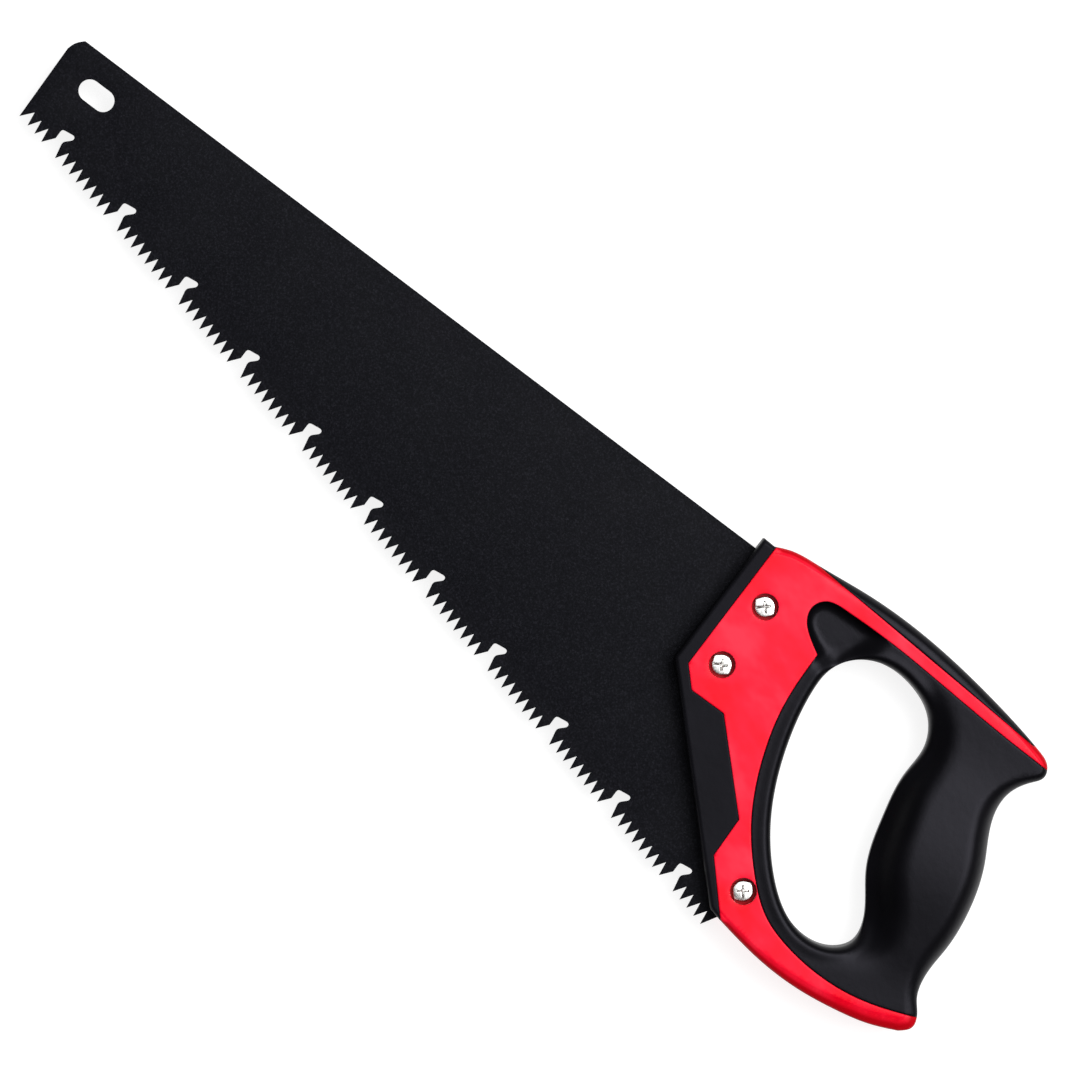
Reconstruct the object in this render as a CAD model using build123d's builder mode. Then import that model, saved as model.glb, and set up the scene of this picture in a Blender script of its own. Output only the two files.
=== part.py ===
"""Hand saw for drywall: a coated steel blade clamped in the slot of a two-colour moulded handle.

Every sketch is drawn on the blade's mid plane in saw coordinates: u runs along the tooth line from the
first tooth's tip towards the handle, and v runs from the tooth line towards the blade's back.
"""
import os
from math import radians, tan

from build123d import *

os.makedirs("parts", exist_ok=True)

# Driving dimensions, in millimetres and degrees
TOOTH_PITCH = 3.992
TOOTH_DEPTH = 5.2
TOOTH_ROOT = 2.0  # from a tip to the root on its heel side
TOOTH_PLACES = 100  # pitches from toe to heel, chip gullets included
GULLET_FIRST = 4  # the first chip gullet takes the place of this tooth
GULLET_STEP = 9  # one gullet in every nine pitches
# Chip gullet, measured from the tip of the tooth before it
GULLET = [(2.4, 5.0), (1.6, 8.4), (1.9, 9.2), (6.1, 10.8), (7.0, 10.5), (7.3, 9.4), (5.4, 6.4), (5.6, 5.2)]
BLADE_THICKNESS = 0.9
BACK_ANGLE = 12.8  # between the tooth line and the blade's back
BACK_RISE = 38.35  # height of the back above the first tooth
BACK_END = 328.0  # how far along the back runs straight
TOE_NOSE = (-6.2, 36.95)  # corner between the toe's nose and the back
HANG_SLOT_CENTRE = (12.1, 26.95)
HANG_SLOT_LENGTH = 14.8
HANG_SLOT_WIDTH = 8.5
# End of the blade inside the handle, from its back round to the tooth line
HEEL_CORNERS = [(334.0, 106.5), (340.0, 84.0), (352.0, 58.0), (376.0, 35.0), (391.0, 27.0), (400.5, 24.5),
                (402.8, 19.0), (401.0, 11.0), (397.4, 6.9)]

CHEEK_THICKNESS = 22.0  # handle over its flat cheeks
GRIP_THICKNESS = 29.0  # handle over the palm swell
BONE_THICKNESS = 15.0  # rigid core under the rubber
EDGE_ROUNDING = 3.0
SLOT_GAP = 1.0  # slot in the handle for the blade
SLOT_CLEARANCE = 0.5  # around the blade's heel, in its own plane

FRONT_CORNER = (312.2, 57.0)  # where the handle's two front edges meet
FRONT_TOP = (299.9, 111.4)
FRONT_BOTTOM = (392.7, 6.8)
# Oval sections of the grip bar from its upper end to its lower end: centre, half width, half thickness
GRIP_SECTIONS = [((411.0, 136.0), 27.0, 10.0), ((418.0, 114.0), 24.0, 11.5), ((429.0, 86.0), 24.0, 15.0),
                 ((440.0, 60.0), 22.5, 14.6), ((449.0, 36.0), 24.0, 11.0), ((454.0, 22.0), 24.0, 9.5)]

SCREW_CENTRES = [(319.75, 95.0), (325.9, 68.8), (395.7, 20.4)]
SCREW_TURNS = [10.5, -3.5, 94.0]  # how far each screw's ears are turned
RECESS_DIAMETER = 10.0
RECESS_DEPTHS = [5.0, 5.0, 6.5]  # the recess by the toe of the handle is the deepest
HEAD_DIAMETER = 7.7
HEAD_EARS = [(4.75, 0.0), (2.8, 2.3), (-2.8, 2.3), (-4.75, 0.0), (-2.8, -2.3), (2.8, -2.3)]
HEAD_HEIGHT = 2.2
HEAD_ROUNDING = 0.2
DRIVE_WIDTH = 1.0
DRIVE_DEPTH = 0.75
DRIVE_CROSS = 4.6  # the screw has a cross recess
DRIVE_SLOT = 5.8  # the sleeve nut has a straight one
DRIVE_TURN = 45.0  # from the ears
SLEEVE_DIAMETER = 6.0
SLEEVE_HOLE = 6.2
BLADE_HOLE = 6.4
SHANK_DIAMETER = 4.0
SLEEVE_BORE = 4.1
SLEEVE_SHORT = 1.0  # the sleeve ends this far under the screw's head
SHANK_SHORT = 2.0  # the shank ends this far above the nut's flange
BORE_SPARE = 1.0  # bore below the end of the shank

OVERALL_LENGTH = 483.8
TOE_REACH = 8.45  # how far the toe's nose reaches ahead of the first tooth
OVERALL_HEIGHT = 138.8

# The row's origin is under the middle of the saw, on the surface its side rests on.
SAW = Plane(origin=(TOE_REACH - OVERALL_LENGTH / 2, -OVERALL_HEIGHT / 2, GRIP_THICKNESS / 2))


def cutting_edge():
    """Corners of the cutting edge from toe to heel, chip gullets included."""
    corners = []
    for place in range(TOOTH_PLACES):
        tip = place * TOOTH_PITCH
        if place % GULLET_STEP == GULLET_FIRST:
            corners += [(tip - TOOTH_PITCH + u, v) for u, v in GULLET]
            continue
        corners.append((tip, 0.0))
        if (place + 1) % GULLET_STEP != GULLET_FIRST:
            corners.append((tip + TOOTH_ROOT, TOOTH_DEPTH))
    return corners[1:-1]


def back_point(u):
    """Point on the straight back of the blade."""
    return (u, BACK_RISE + u * tan(radians(BACK_ANGLE)))


def handle_outline():
    """Silhouette of the whole handle, drawn inside a BuildLine."""
    Polyline([(398.4, 6.8), FRONT_BOTTOM, FRONT_CORNER, FRONT_TOP, (304.8, 112.3)])
    Spline([(304.8, 112.3), (310.0, 116.1), (320.0, 120.1), (340.0, 127.1), (360.0, 132.5), (380.0, 135.9),
            (400.0, 137.9), (427.0, 138.75), (433.2, 137.4), (435.7, 133.7), (434.2, 129.0), (432.0, 119.5),
            (435.2, 109.8), (446.5, 96.1), (456.5, 79.5), (461.5, 64.7), (464.9, 49.75), (468.4, 44.1),
            (473.1, 40.2), (475.3, 36.0), (472.75, 31.0)])
    ThreePointArc((472.75, 31.0), (437.0, 12.5), (398.4, 6.8))


def opening_outline():
    """Edge of the hand opening, drawn inside a BuildLine."""
    Spline([(353.4, 98.0), (356.0, 107.0), (364.75, 115.1), (378.0, 118.2), (390.0, 115.75), (398.7, 106.7),
            (401.5, 95.1), (407.75, 79.8), (420.0, 60.4), (434.0, 46.9), (436.6, 39.5), (432.75, 31.9),
            (418.0, 26.6), (400.0, 32.2), (380.0, 47.6), (363.6, 70.0), (355.1, 88.9)], periodic=True)


def bone_outline():
    """Edge of the rigid bone, one rubber skin inside the silhouette."""
    Polyline([(398.5, 10.3), (394.0, 10.3), (316.3, 58.6), (304.3, 108.8), (308.0, 110.9)])
    Spline([(308.0, 110.9), (322.0, 117.1), (342.0, 124.0), (362.0, 129.2), (382.0, 132.5), (402.0, 134.4),
            (422.0, 135.0), (430.3, 132.3), (430.2, 126.0), (428.4, 118.0), (431.6, 107.8), (443.1, 93.8),
            (452.8, 78.2), (458.0, 63.8), (461.3, 48.6), (466.0, 41.4), (470.7, 36.5), (469.0, 32.9)])
    ThreePointArc((469.0, 32.9), (436.0, 15.9), (398.5, 10.3))


def bone_opening():
    """Edge of the hole in the rigid bone, one rubber skin outside the hand opening."""
    Spline([(349.9, 98.4), (352.8, 108.6), (363.2, 118.3), (378.0, 121.7), (391.8, 118.8), (401.9, 108.2),
            (404.9, 96.2), (411.0, 81.2), (422.9, 62.6), (437.2, 48.8), (440.2, 39.2), (435.2, 29.2),
            (418.0, 23.1), (398.2, 29.2), (377.5, 45.1), (360.5, 68.3), (351.8, 87.9)], periodic=True)


def grip_outline():
    """Region of the soft grip: its edges against the red core, closed outside the silhouette."""
    Spline([(440.0, 137.6), (420.0, 133.25), (400.0, 129.5), (380.0, 126.1), (360.0, 122.3), (338.0, 116.7)])
    Spline([(338.0, 116.7), (333.0, 114.0), (331.0, 108.9), (332.9, 104.4), (339.0, 100.6), (345.9, 98.4)])
    Spline([(345.9, 98.4), (352.5, 76.0), (360.9, 60.0), (376.0, 41.0), (395.25, 26.6), (409.0, 20.6),
            (420.0, 19.6), (434.0, 21.0), (452.75, 26.9), (478.0, 43.0)])
    Polyline([(478.0, 43.0), (490.0, 60.0), (490.0, 137.6), (440.0, 137.6)])


def spine_outline():
    """Region of the pad along the handle's top, closed outside the silhouette."""
    Polyline([(317.0, 119.6), (424.2, 138.2), (426.0, 145.0), (317.0, 145.0)], close=True)


def bumper_outline():
    """Region of the strip along the front edges and of the panel behind it."""
    inner_corner = (317.3, 59.6)
    Polyline([(304.8, 115.0), inner_corner, (325.7, 54.1), (340.1, 57.6), (374.1, 36.5), (378.2, 20.7),
              (399.0, 6.5), (385.0, 0.0), (300.0, 50.0), (290.0, 115.0)], close=True)


def heel_outline():
    """The part of the blade that the handle's slot takes in, with the slot's mouth left wide open."""
    mouth = [(397.4, -5.0), (280.0, -5.0)]
    Polyline([back_point(280.0), back_point(BACK_END)] + HEEL_CORNERS + mouth, close=True)


def grip_zone():
    """Region of the bar between the horns, where an oval section takes the place of the flat cheeks."""
    Polyline([(396.0, 112.0), (437.0, 124.0), (480.0, 124.0), (480.0, 50.0), (436.0, 36.0), (395.0, 50.0)],
             close=True)


# Blade: one flat plate with its teeth, gullets, hanging slot and clamping holes
with BuildPart() as blade:
    with BuildSketch(SAW):
        with BuildLine():
            Polyline([(-0.7, 0.0)] + cutting_edge() + HEEL_CORNERS[::-1] + [back_point(BACK_END), TOE_NOSE])
            ThreePointArc(TOE_NOSE, (-8.05, 33.4), (-8.4, 30.2))
            Line((-8.4, 30.2), (-0.7, 0.0))
        make_face()
        with Locations(HANG_SLOT_CENTRE):
            SlotOverall(HANG_SLOT_LENGTH, HANG_SLOT_WIDTH, rotation=BACK_ANGLE, mode=Mode.SUBTRACT)
        with Locations(SCREW_CENTRES):
            Circle(BLADE_HOLE / 2, mode=Mode.SUBTRACT)
    extrude(amount=BLADE_THICKNESS / 2, both=True)
blade.part.label = "blade"
export_step(blade.part, "parts/blade.step")

# Flat form of the handle, which the core and its rubber parts share between them
with BuildPart() as plate:
    with BuildSketch(SAW):
        with BuildLine():
            handle_outline()
        make_face()
        with BuildLine():
            opening_outline()
        make_face(mode=Mode.SUBTRACT)
    extrude(amount=CHEEK_THICKNESS / 2, both=True)
    rims = plate.faces().filter_by(Axis.Z).edges().filter_by(GeomType.LINE, reverse=True)
    fillet(rims, EDGE_ROUNDING)

# Oval bar between the two horns, swelling towards the palm
with BuildPart() as barrel:
    for (u, v), half_width, half_thickness in GRIP_SECTIONS:
        centre = SAW.origin + Vector(u, v, 0.0)
        with BuildSketch(Plane(origin=centre, x_dir=(0.94, 0.34, 0.0), z_dir=(0.34, -0.94, 0.0))):
            Ellipse(half_width, half_thickness)
    loft()
    with BuildSketch(SAW):
        with BuildLine():
            handle_outline()
        make_face()
        with BuildLine():
            opening_outline()
        make_face(mode=Mode.SUBTRACT)
    extrude(amount=GRIP_THICKNESS / 2, both=True, mode=Mode.INTERSECT)

# Whole outer form: flat cheeks, with the oval bar in place of them between the horns
with BuildPart() as form:
    add(plate.part)
    with BuildSketch(SAW):
        with BuildLine():
            grip_zone()
        make_face()
    extrude(amount=GRIP_THICKNESS, both=True, mode=Mode.SUBTRACT)
    add(barrel.part)

# Rigid bone of the core, which the rubber parts are moulded over
with BuildPart() as bone:
    with BuildSketch(SAW):
        with BuildLine():
            bone_outline()
        make_face()
        with BuildLine():
            bone_opening()
        make_face(mode=Mode.SUBTRACT)
    extrude(amount=BONE_THICKNESS / 2, both=True)


def region(outline):
    """Face on the mid plane inside a closed outline."""
    with BuildSketch(SAW) as area:
        with BuildLine():
            outline()
        make_face()
    return area.sketch


def blade_pocket():
    """Face of the slot that takes the blade's heel."""
    with BuildSketch(SAW) as area:
        with BuildLine():
            heel_outline()
        make_face()
        offset(amount=SLOT_CLEARANCE, kind=Kind.INTERSECTION)
    return area.sketch


# Rigid core: the red cheeks with the slotted bone, and a recessed hole for each screw
with BuildPart() as handle_core:
    add(form.part)
    extrude(region(grip_outline), amount=GRIP_THICKNESS, both=True, mode=Mode.SUBTRACT)
    extrude(region(spine_outline), amount=GRIP_THICKNESS, both=True, mode=Mode.SUBTRACT)
    extrude(region(bumper_outline), amount=GRIP_THICKNESS, both=True, mode=Mode.SUBTRACT)
    add(bone.part)
    extrude(blade_pocket(), amount=SLOT_GAP / 2, both=True, mode=Mode.SUBTRACT)
    for centre, depth in zip(SCREW_CENTRES, RECESS_DEPTHS):
        with Locations(SAW.offset(CHEEK_THICKNESS / 2)):
            with Locations(centre):
                CounterBoreHole(SLEEVE_HOLE / 2, RECESS_DIAMETER / 2, depth)
        with BuildSketch(SAW.offset(-CHEEK_THICKNESS / 2)):
            with Locations(centre):
                Circle(RECESS_DIAMETER / 2)
        extrude(amount=depth, mode=Mode.SUBTRACT)
handle_core.part.label = "handle_core"
export_step(handle_core.part, "parts/handle_core.step")

# Soft grip: rubber over the bar between the horns, round the hand opening and in the thumb scoop
with BuildPart() as grip_overmould:
    add(form.part)
    extrude(region(grip_outline), amount=GRIP_THICKNESS, both=True, mode=Mode.INTERSECT)
    add(bone.part, mode=Mode.SUBTRACT)
grip_overmould.part.label = "grip_overmould"
export_step(grip_overmould.part, "parts/grip_overmould.step")

# Soft pad along the handle's top edge
with BuildPart() as spine_pad:
    add(form.part)
    extrude(region(spine_outline), amount=GRIP_THICKNESS, both=True, mode=Mode.INTERSECT)
    add(bone.part, mode=Mode.SUBTRACT)
spine_pad.part.label = "spine_pad"
export_step(spine_pad.part, "parts/spine_pad.step")

# Strip along the two front edges, with the panel behind the lower one
with BuildPart() as front_bumper:
    add(form.part)
    extrude(region(bumper_outline), amount=GRIP_THICKNESS, both=True, mode=Mode.INTERSECT)
    add(bone.part, mode=Mode.SUBTRACT)
    extrude(blade_pocket(), amount=SLOT_GAP / 2, both=True, mode=Mode.SUBTRACT)
front_bumper.part.label = "front_bumper"
export_step(front_bumper.part, "parts/front_bumper.step")

for number, (centre, turn, depth) in enumerate(zip(SCREW_CENTRES, SCREW_TURNS, RECESS_DEPTHS), start=1):
    seat = CHEEK_THICKNESS / 2 - depth  # height of the recess floor from the mid plane
    shank_length = 2 * seat - SHANK_SHORT
    sleeve_length = 2 * seat - SLEEVE_SHORT

    # Screw: its eared head stands in the near recess and its shank screws into the sleeve
    with BuildPart() as screw:
        with BuildSketch(SAW.offset(seat)):
            with Locations(centre):
                Circle(HEAD_DIAMETER / 2)
                Polygon(*HEAD_EARS, rotation=turn)
        extrude(amount=HEAD_HEIGHT)
        fillet(screw.faces().sort_by(Axis.Z)[-1].edges(), HEAD_ROUNDING)
        with BuildSketch(SAW.offset(seat + HEAD_HEIGHT)):
            with Locations(centre):
                Rectangle(DRIVE_CROSS, DRIVE_WIDTH, rotation=turn + DRIVE_TURN)
                Rectangle(DRIVE_WIDTH, DRIVE_CROSS, rotation=turn + DRIVE_TURN)
        extrude(amount=-DRIVE_DEPTH, mode=Mode.SUBTRACT)
        with BuildSketch(SAW.offset(seat)):
            with Locations(centre):
                Circle(SHANK_DIAMETER / 2)
        extrude(amount=-shank_length)
    screw.part.label = f"screw_{number}"
    export_step(screw.part, f"parts/screw_{number}.step")

    # Sleeve nut: its flange stands in the far recess and its barrel passes through core and blade
    with BuildPart() as sleeve_nut:
        with BuildSketch(SAW.offset(-seat)):
            with Locations(centre):
                Circle(HEAD_DIAMETER / 2)
                Polygon(*HEAD_EARS, rotation=-turn)
        extrude(amount=-HEAD_HEIGHT)
        fillet(sleeve_nut.faces().sort_by(Axis.Z)[0].edges(), HEAD_ROUNDING)
        with BuildSketch(SAW.offset(-seat - HEAD_HEIGHT)):
            with Locations(centre):
                Rectangle(DRIVE_SLOT, DRIVE_WIDTH, rotation=DRIVE_TURN - turn)
        extrude(amount=DRIVE_DEPTH, mode=Mode.SUBTRACT)
        with BuildSketch(SAW.offset(-seat)):
            with Locations(centre):
                Circle(SLEEVE_DIAMETER / 2)
        extrude(amount=sleeve_length)
        with BuildSketch(SAW.offset(sleeve_length - seat)):
            with Locations(centre):
                Circle(SLEEVE_BORE / 2)
        extrude(amount=-(sleeve_length - SHANK_SHORT + BORE_SPARE), mode=Mode.SUBTRACT)
    sleeve_nut.part.label = f"sleeve_nut_{number}"
    export_step(sleeve_nut.part, f"parts/sleeve_nut_{number}.step")
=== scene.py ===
from math import cos, pi, radians, sin, tan

import bmesh
import bpy
import numpy as np
from mathutils import Matrix, Vector
from mathutils.geometry import delaunay_2d_cdt


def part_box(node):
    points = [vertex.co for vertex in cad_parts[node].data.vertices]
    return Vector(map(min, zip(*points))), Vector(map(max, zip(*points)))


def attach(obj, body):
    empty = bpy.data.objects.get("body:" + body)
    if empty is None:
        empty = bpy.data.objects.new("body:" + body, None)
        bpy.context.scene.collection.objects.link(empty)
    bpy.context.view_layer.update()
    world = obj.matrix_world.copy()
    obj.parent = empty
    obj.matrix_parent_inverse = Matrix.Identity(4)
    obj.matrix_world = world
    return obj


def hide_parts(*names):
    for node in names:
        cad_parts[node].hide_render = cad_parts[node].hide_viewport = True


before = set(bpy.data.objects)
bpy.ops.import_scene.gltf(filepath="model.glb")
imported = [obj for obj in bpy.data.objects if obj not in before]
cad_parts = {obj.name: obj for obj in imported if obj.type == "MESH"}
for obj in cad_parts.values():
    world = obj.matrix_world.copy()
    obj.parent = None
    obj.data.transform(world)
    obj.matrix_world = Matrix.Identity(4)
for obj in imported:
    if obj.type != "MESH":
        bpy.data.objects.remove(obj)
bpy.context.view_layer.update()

# ---------------------------------------------------------------- the saw's own coordinates
# Outlines are in millimetres on the blade's mid plane: u from the first tooth's tip towards the
# handle, v from the tooth line towards the blade's back, z out of the screw-head side.
MM = 0.001
TOE_REACH = 8.45
BLADE_LOW, BLADE_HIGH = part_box("blade")
DATUM = np.array([BLADE_LOW.x + TOE_REACH * MM, BLADE_LOW.y, (BLADE_LOW.z + BLADE_HIGH.z) / 2])
CHEEK = (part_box("handle_core")[1].z - DATUM[2]) / MM
PALM = (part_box("grip_overmould")[1].z - DATUM[2]) / MM


def place(points):
    """Saw coordinates in millimetres to row coordinates in metres."""
    return np.asarray(points, float) * MM + DATUM


def saw_point(corner):
    """A row point in metres back to saw coordinates in millimetres."""
    return (np.array(corner) - DATUM) / MM


# ---------------------------------------------------------------- curves and distances
def smooth_curve(points, spacing, closed=False):
    """Natural cubic spline through the points, sampled at an even spacing."""
    knots = np.asarray(points, float)
    if closed:
        lap = 3
        knots = np.vstack([knots[-lap:], knots, knots[:lap + 1]])
    chord = np.r_[0, np.cumsum(np.linalg.norm(np.diff(knots, axis=0), axis=1))]
    gap = np.diff(chord)
    count = len(knots)
    system = np.zeros((count, count))
    target = np.zeros((count, 2))
    system[0, 0] = system[-1, -1] = 1
    for i in range(1, count - 1):
        system[i, i - 1:i + 2] = gap[i - 1], 2 * (gap[i - 1] + gap[i]), gap[i]
        target[i] = 6 * ((knots[i + 1] - knots[i]) / gap[i] - (knots[i] - knots[i - 1]) / gap[i - 1])
    bend = np.linalg.solve(system, target)
    start, end = (chord[lap], chord[-lap - 1]) if closed else (0, chord[-1])
    steps = max(2, int(round((end - start) / spacing)))
    at = np.linspace(start, end, steps + 1)
    i = np.clip(np.searchsorted(chord, at, side="right") - 1, 0, count - 2)
    a = ((chord[i + 1] - at) / gap[i])[:, None]
    b = 1 - a
    g = gap[i][:, None]
    bending = (a ** 3 - a) * bend[i] + (b ** 3 - b) * bend[i + 1]
    return a * knots[i] + b * knots[i + 1] + bending * g ** 2 / 6


def outline(*stretches, spacing=0.8):
    """Closed outline from stretches of points: two points make a straight run, more a smooth curve."""
    runs = []
    for points in stretches:
        if len(points) == 2:
            steps = max(1, int(np.linalg.norm(np.subtract(*points)) / spacing))
            share = np.linspace(0, 1, steps + 1)[:, None]
            run = np.array(points[0]) * (1 - share) + np.array(points[1]) * share
        else:
            run = smooth_curve(points, spacing)
        runs.append(run[:-1])
    return np.vstack(runs)


def polygon(corners, spacing=0.8):
    """Closed outline with straight sides."""
    ring = list(corners) + [corners[0]]
    return outline(*[ring[i:i + 2] for i in range(len(corners))], spacing=spacing)


def circle(centre, radius, count=72):
    """Closed round outline."""
    turn = np.arange(count) * 2 * pi / count
    return np.asarray(centre)[:2] + radius * np.c_[np.cos(turn), np.sin(turn)]


def distance(points, loop, closed=True):
    """Distance from each point to an outline."""
    a = loop if closed else loop[:-1]
    b = np.roll(loop, -1, axis=0) if closed else loop[1:]
    side = b - a
    square = (side ** 2).sum(1)
    best = np.full(len(points), 1e9)
    for i in range(0, len(points), 2000):
        offset = points[i:i + 2000, None] - a
        share = np.clip((offset * side).sum(2) / square, 0, 1)
        near = offset - share[..., None] * side
        best[i:i + 2000] = np.sqrt((near ** 2).sum(2).min(1))
    return best


def inside(points, loop):
    """Whether each point lies inside an outline."""
    a, b = loop, np.roll(loop, -1, axis=0)
    found = np.zeros(len(points), bool)
    for i in range(0, len(points), 2000):
        x, y = points[i:i + 2000, :1], points[i:i + 2000, 1:]
        spans = (a[:, 1] > y) != (b[:, 1] > y)
        with np.errstate(divide="ignore", invalid="ignore"):
            cross = (b[:, 0] - a[:, 0]) * (y - a[:, 1]) / (b[:, 1] - a[:, 1]) + a[:, 0]
        found[i:i + 2000] = (spans & (x < cross)).sum(1) % 2 == 1
    return found


def ease(value, low, high):
    """Smooth step from 0 at low to 1 at high."""
    t = np.clip((value - low) / (high - low), 0, 1)
    return t * t * (3 - 2 * t)


def quarter(t):
    """Quarter ellipse: rises upright from 0 and levels out at 1."""
    t = np.clip(t, 0, 1)
    return np.sqrt(1 - (1 - t) ** 2)


def bell(value, middle, width):
    """Soft bump of height 1."""
    return np.exp(-((value - middle) / width) ** 2)


# ---------------------------------------------------------------- outlines
FRONT_BOTTOM = (392.7, 6.8)
FRONT_CORNER = (312.2, 57.0)
FRONT_TOP = (299.9, 111.4)
STRIP_TOP = (304.8, 112.3)
TAIL_START = (398.4, 6.8)
TAIL_TIP = (472.75, 31.0)
FRONT_EDGES = np.array([FRONT_BOTTOM, FRONT_CORNER, FRONT_TOP])
SILHOUETTE = outline(
    [TAIL_START, FRONT_BOTTOM], [FRONT_BOTTOM, FRONT_CORNER], [FRONT_CORNER, FRONT_TOP],
    [FRONT_TOP, STRIP_TOP],
    [STRIP_TOP, (310.0, 116.1), (320.0, 120.1), (340.0, 127.1), (360.0, 132.5), (380.0, 135.9),
     (400.0, 137.9), (427.0, 138.75), (433.2, 137.4), (435.7, 133.7), (434.2, 129.0), (432.0, 119.5),
     (435.2, 109.8), (446.5, 96.1), (456.5, 79.5), (461.5, 64.7), (464.9, 49.75), (468.4, 44.1),
     (473.1, 40.2), (475.3, 36.0), TAIL_TIP],
    [TAIL_TIP, (464.0, 24.5), (452.0, 18.3), (437.0, 12.5), (418.0, 8.3), TAIL_START])
OPENING = smooth_curve(
    [(353.4, 98.0), (356.0, 107.0), (364.75, 115.1), (378.0, 118.2), (390.0, 115.75), (398.7, 106.7),
     (401.5, 95.1), (407.75, 79.8), (420.0, 60.4), (434.0, 46.9), (436.6, 39.5), (432.75, 31.9),
     (418.0, 26.6), (400.0, 32.2), (380.0, 47.6), (363.6, 70.0), (355.1, 88.9)], 0.8, closed=True)[:-1]
GRIP_TOP = [(440.0, 137.6), (420.0, 133.25), (400.0, 129.5), (380.0, 126.1), (360.0, 122.3), (338.0, 116.7)]
SCOOP = [(338.0, 116.7), (333.0, 114.0), (331.0, 108.9), (332.9, 104.4), (339.0, 100.6), (345.9, 98.4)]
GRIP_BOTTOM = [(345.9, 98.4), (352.5, 76.0), (360.9, 60.0), (376.0, 41.0), (395.25, 26.6), (409.0, 20.6),
               (420.0, 19.6), (434.0, 21.0), (452.75, 26.9), (478.0, 43.0)]
GRIP_REGION = outline(
    GRIP_TOP, SCOOP, GRIP_BOTTOM,
    [(478.0, 43.0), (490.0, 60.0)], [(490.0, 60.0), (490.0, 137.6)], [(490.0, 137.6), (440.0, 137.6)])
SPINE_REGION = polygon([(317.0, 119.6), (424.2, 138.2), (426.0, 145.0), (317.0, 145.0)])
BUMPER_REGION = polygon([
    (304.8, 115.0), (317.3, 59.6), (325.7, 54.1), (340.1, 57.6), (374.1, 36.5), (378.2, 20.7),
    (399.0, 6.5), (385.0, 0.0), (300.0, 50.0), (290.0, 115.0)])

SCREWS = [saw_point(sum(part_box(f"screw_{i}"), Vector()) / 2) for i in (1, 2, 3)]
RECESS_RADIUS = 5.0
SLEEVE_RADIUS = 3.1


# ---------------------------------------------------------------- plan of the handle
RING_SLACK = 0.985  # a ring's point nearer than this share of its offset is beside another stretch
COARSE_FROM = 3.0  # rings this far from their outline keep every second point
MERGE = 1e-5


def rings(loop, offsets, both_sides=False):
    """Points beside an outline at each offset, kept only where no other stretch of it is nearer."""
    along = np.roll(loop, -1, axis=0) - np.roll(loop, 1, axis=0)
    along /= np.linalg.norm(along, axis=1)[:, None]
    across = np.c_[-along[:, 1], along[:, 0]]
    found = []
    for offset in offsets:
        for side in (1, -1) if both_sides else (1,):
            stride = 1 if offset < COARSE_FROM else 2
            points = (loop + side * offset * across)[::stride]
            found.append(points[distance(points, loop) > offset * RING_SLACK])
    return np.vstack(found)


def signed_area(loop):
    """Area inside an outline, negative when it runs clockwise."""
    x, y = loop[:, 0], loop[:, 1]
    return (x * np.roll(y, -1) - np.roll(x, -1) * y).sum() / 2


def turned(loop, left=True):
    """The outline running so that its region lies on its left, or on its right for a hole."""
    return loop if (signed_area(loop) > 0) == left else loop[::-1]


def triangulate(outlines, points):
    """Constrained triangulation of loose points and closed outlines: corner points and triangles."""
    corners = [Vector(p) for p in points]
    edges = []
    for loop in outlines:
        first = len(corners)
        corners += [Vector(p) for p in loop]
        edges += [(first + i, first + (i + 1) % len(loop)) for i in range(len(loop))]
    found, _, faces, *_ = delaunay_2d_cdt(corners, edges, [], 0, MERGE)
    return np.array([tuple(p) for p in found]), np.array(faces)


ROUND_RINGS = [0.08, 0.3, 0.66, 1.14, 1.73, 2.4, 3.1]
RIM_RINGS = ROUND_RINGS + [3.9, 4.8, 5.8, 6.9]
SEAM_RINGS = [0.06, 0.18, 0.35, 0.8]
BAND_RINGS = [-0.5, -0.15, 0.15]
GRID = 1.5
ROW_STEP = 0.866  # rows of the grid stand this far apart, as a share of its spacing
GRID_CLEARANCE = 0.4  # the grid stops this far from the rings, as a share of its spacing

SILHOUETTE = turned(SILHOUETTE)
OPENING = turned(OPENING, left=False)
RECESSES = [turned(circle(screw, RECESS_RADIUS), left=False) for screw in SCREWS]
SEAMS = [GRIP_REGION, SPINE_REGION, BUMPER_REGION]


def band_width(u, v):
    """Width of the lowered band along the handle's outer edge, widest round the tail."""
    return 2.5 + 2.7 * ease(u, 395, 472) * (1 - ease(v, 44, 60))


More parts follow.
